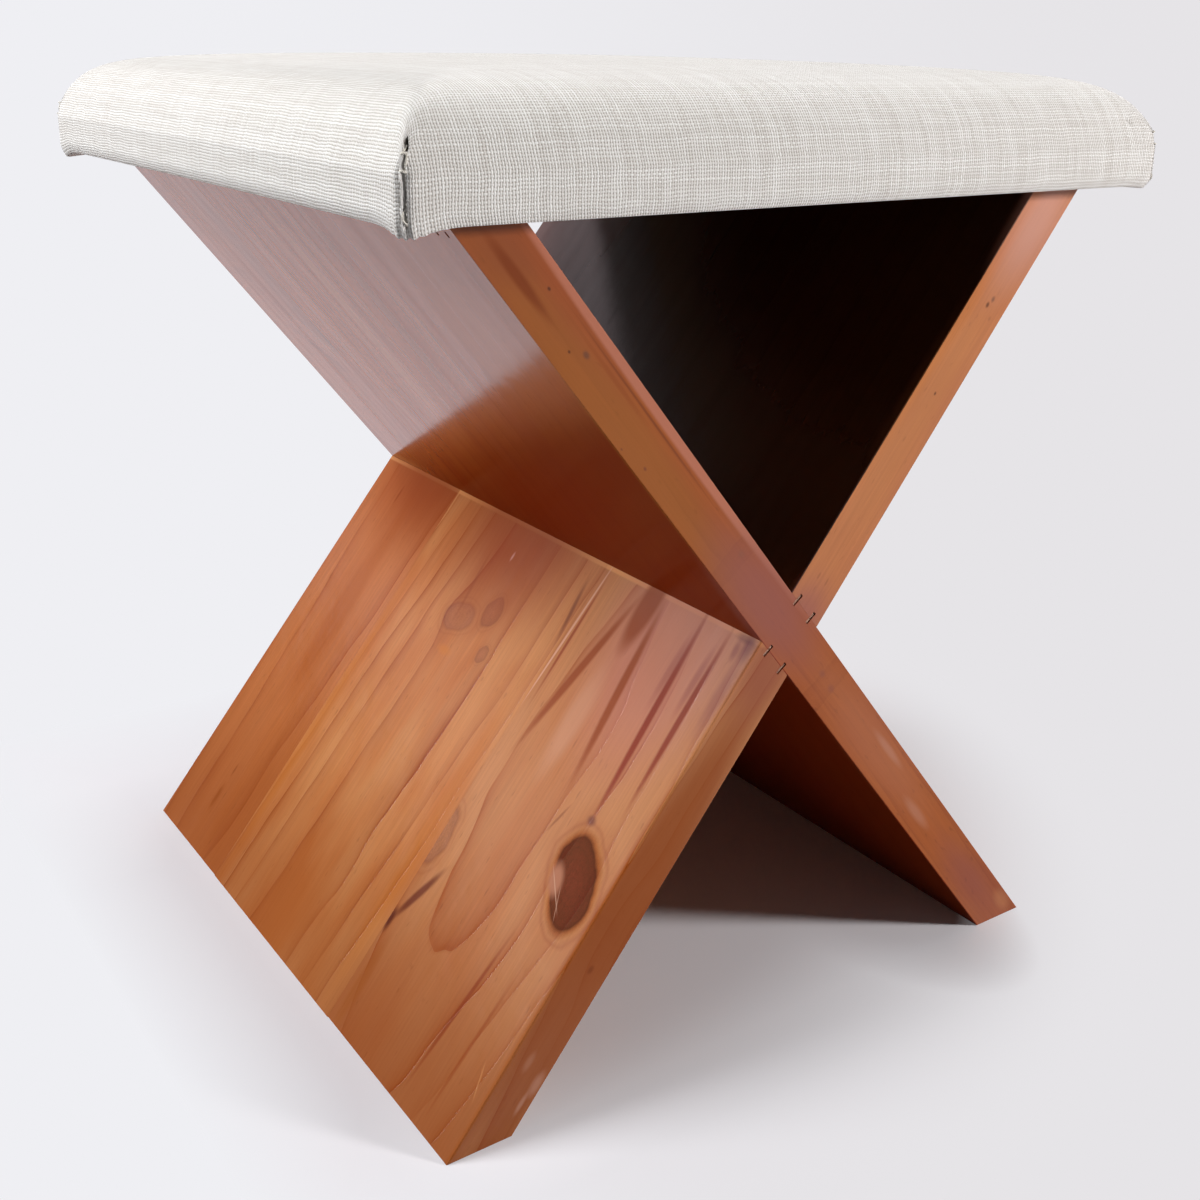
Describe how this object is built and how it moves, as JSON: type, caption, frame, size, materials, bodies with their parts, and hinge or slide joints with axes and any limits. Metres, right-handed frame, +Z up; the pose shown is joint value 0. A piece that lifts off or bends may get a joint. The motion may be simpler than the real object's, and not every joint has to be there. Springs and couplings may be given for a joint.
{
  "type": "x frame stool",
  "caption": "Square stool: stained pine panels cross in an X from floor to seat, and a low padded cushion in pale linen-look cloth with hand-stitched corners rests on their upper ends.",
  "frame": {"origin": "on the floor, under the middle of the stool", "axes": "+Z up; +X to the right and -Y to the front, where the front edges of the two panels show the X"},
  "size_m": [0.3998, 0.4158, 0.455],
  "materials": {
    "stained_pine": "chestnut stain under glossy clear lacquer",
    "beech_dowel": "bare, turned",
    "plywood": "bare, sanded",
    "linen_cloth": "plain weave with slubs, matt",
    "sewing_thread": "twisted thread, matt",
    "foam": "open-cell foam, cut",
    "wadding": "polyester fibre, soft",
    "steel_wire": "drawn wire, dull"
  },
  "bodies": {
    "root": {"through_board_rear": "stained_pine", "through_board_middle": "stained_pine", "through_board_front": "stained_pine", "upper_board_rear": "stained_pine", "upper_board_middle": "stained_pine", "upper_board_front": "stained_pine", "lower_board_rear": "stained_pine", "lower_board_middle": "stained_pine", "lower_board_front": "stained_pine", "crossing_dowel_1": "beech_dowel", "crossing_dowel_2": "beech_dowel", "crossing_dowel_3": "beech_dowel", "crossing_dowel_4": "beech_dowel", "crossing_staple_front_1": "steel_wire", "crossing_staple_front_2": "steel_wire", "crossing_staple_front_3": "steel_wire", "crossing_staple_front_4": "steel_wire", "crossing_staple_rear_1": "steel_wire", "crossing_staple_rear_2": "steel_wire", "crossing_staple_rear_3": "steel_wire", "crossing_staple_rear_4": "steel_wire", "seat_brad_front_left_1": "steel_wire", "seat_brad_front_left_2": "steel_wire", "seat_brad_rear_left_1": "steel_wire", "seat_brad_rear_left_2": "steel_wire", "seat_brad_front_right_1": "steel_wire", "seat_brad_front_right_2": "steel_wire", "seat_brad_rear_right_1": "steel_wire", "seat_brad_rear_right_2": "steel_wire", "seat_board": "plywood", "foam_pad": "foam", "seat_wadding": "wadding", "seat_cover": "linen_cloth", "corner_stitch_front_left": "sewing_thread", "corner_stitch_front_right": "sewing_thread", "corner_stitch_rear_left": "sewing_thread", "corner_stitch_rear_right": "sewing_thread", "cover_staple_front_1": "steel_wire", "cover_staple_front_2": "steel_wire", "cover_staple_front_3": "steel_wire", "cover_staple_front_4": "steel_wire", "cover_staple_front_5": "steel_wire", "cover_staple_right_1": "steel_wire", "cover_staple_right_2": "steel_wire", "cover_staple_right_3": "steel_wire", "cover_staple_right_4": "steel_wire", "cover_staple_right_5": "steel_wire", "cover_staple_rear_1": "steel_wire", "cover_staple_rear_2": "steel_wire", "cover_staple_rear_3": "steel_wire", "cover_staple_rear_4": "steel_wire", "cover_staple_rear_5": "steel_wire", "cover_staple_left_1": "steel_wire", "cover_staple_left_2": "steel_wire", "cover_staple_left_3": "steel_wire", "cover_staple_left_4": "steel_wire", "cover_staple_left_5": "steel_wire"}
  },
  "joints": []
}
